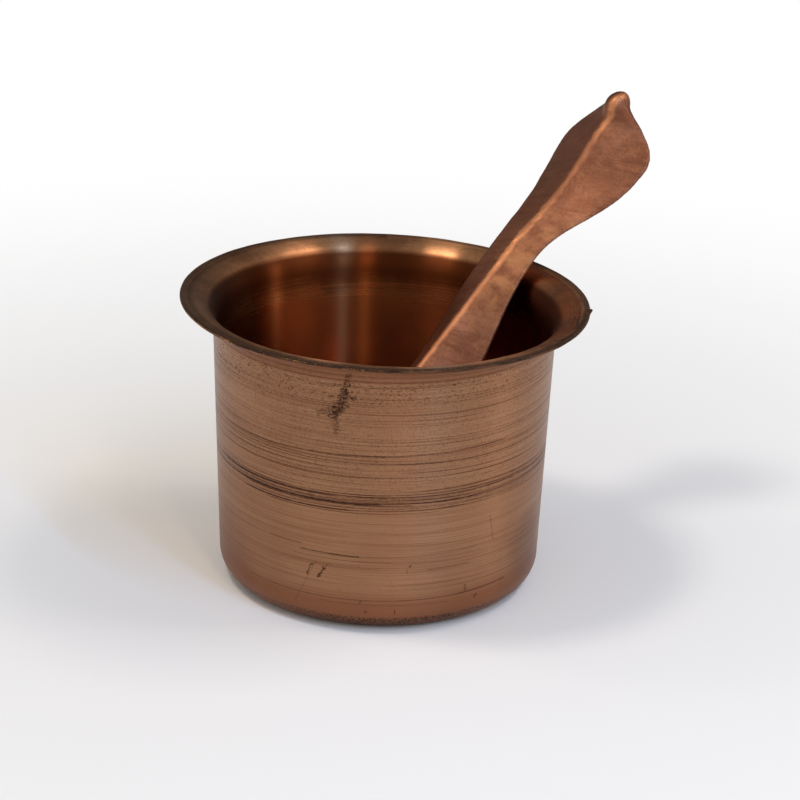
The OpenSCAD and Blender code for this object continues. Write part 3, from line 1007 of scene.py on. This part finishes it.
def facing(back, roll):
    """Turn of a lamp or camera that looks against a direction, rolled about it."""
    upright = back.to_track_quat("Z", "Y").to_matrix()
    return (upright @ Matrix.Rotation(roll, 3, "Z")).to_euler()


def hang_lamp(lamp):
    """A soft lamp that faces the top of the cup and is hidden from the camera."""
    data = bpy.data.lights.new(lamp.name, "AREA")
    data.shape = "RECTANGLE"
    data.size = lamp.width
    data.size_y = lamp.height
    data.energy = lamp.power
    data.color = srgb(*lamp.tint)
    made = bpy.data.objects.new(lamp.name, data)
    around = math.radians(lamp.azimuth)
    above = math.radians(lamp.rise)
    out = math.cos(above)
    back = Vector((math.sin(around) * out, -math.cos(around) * out, math.sin(above)))
    made.location = Vector((0, 0, CUP_HIGH.z)) + back * LAMP_DISTANCE
    made.rotation_euler = facing(back, -math.radians(lamp.lean))
    made.visible_camera = False
    bpy.context.scene.collection.objects.link(made)


def light_room(scene, stage):
    """Plain light all round, dimmer above and behind."""
    world = bpy.data.worlds.new("room")
    world.use_nodes = True
    scene.world = world
    room = Finish(world.node_tree)
    _, behind, above = room.split(room.node("ShaderNodeTexCoord", out="Generated"))
    room.paint = stage.room
    room.coat(room.smooth(above, 0.15, 0.85), stage.ceiling)
    room.coat(room.smooth(behind, 0.25, 0.85), stage.shade)
    sky = room.node("ShaderNodeBackground", sockets={"Color": room.paint, "Strength": 1.0})
    room.node("ShaderNodeOutputWorld", sockets={"Surface": sky})


def set_camera(scene, stage):
    """The camera in front of the cup and above it."""
    data = bpy.data.cameras.new("camera")
    data.sensor_width = SENSOR_WIDTH
    data.lens = stage.focal
    data.clip_start = NEAR_CLIP
    camera = bpy.data.objects.new("camera", data)
    rise = Vector((0, -math.cos(stage.camera_rise), math.sin(stage.camera_rise)))
    camera.location = CAMERA_MIDDLE + stage.camera_distance * rise
    camera.rotation_euler = facing((camera.location - CAMERA_AIM).normalized(), stage.camera_roll)
    scene.collection.objects.link(camera)
    scene.camera = camera


class PANCHPATRA_OT_stage(bpy.types.Operator):
    """Lay the floor, hang the lamps, light the room and set the camera"""
    bl_idname = "panchpatra.stage"
    bl_label = "Set stage"

    def execute(self, context):
        stage = context.scene.panchpatra_stage
        mesh = bmesh.new()
        bmesh.ops.create_grid(mesh, x_segments=4, y_segments=4, size=FLOOR_HALF)
        floor = piece("floor", mesh, pale_floor(stage))
        for lamp in LAMPS:
            hang_lamp(lamp)
        light_room(context.scene, stage)
        set_camera(context.scene, stage)
        context.scene.view_settings.view_transform = "Standard"
        return {"FINISHED"}


class PANCHPATRA_PT_panel(bpy.types.Panel):
    """Lists the steps that make the panchpatra, and the sizes and colours that they use"""
    bl_idname = "PANCHPATRA_PT_panel"
    bl_label = "Panchpatra"
    bl_space_type = "VIEW_3D"
    bl_region_type = "UI"
    bl_category = "Panchpatra"

    def draw(self, context):
        for operator in OPERATORS:
            self.layout.operator(operator.bl_idname)
        for group in GROUPS:
            settings = getattr(context.scene, group)
            box = self.layout.box()
            for key in settings.bl_rna.properties.keys():
                if key not in ("rna_type", "name"):
                    box.prop(settings, key)


OPERATORS = (PANCHPATRA_OT_cup, PANCHPATRA_OT_spoon, PANCHPATRA_OT_stage)
GROUPS = {
    "panchpatra_cup": CupSettings,
    "panchpatra_spoon": SpoonSettings,
    "panchpatra_stage": StageSettings,
}


def register():
    """Add the classes, and the settings that each scene holds."""
    for made in (*GROUPS.values(), *OPERATORS, PANCHPATRA_PT_panel):
        bpy.utils.register_class(made)
    for name, group in GROUPS.items():
        setattr(bpy.types.Scene, name, PointerProperty(type=group))


def unregister():
    """Take the settings and the classes out again."""
    for name in GROUPS:
        delattr(bpy.types.Scene, name)
    for made in (PANCHPATRA_PT_panel, *OPERATORS, *GROUPS.values()):
        bpy.utils.unregister_class(made)


def main():
    """Make the pieces and the stage."""
    register()
    bpy.ops.panchpatra.cup()
    bpy.ops.panchpatra.spoon()
    bpy.ops.panchpatra.stage()


if __name__ == "__main__":
    main()
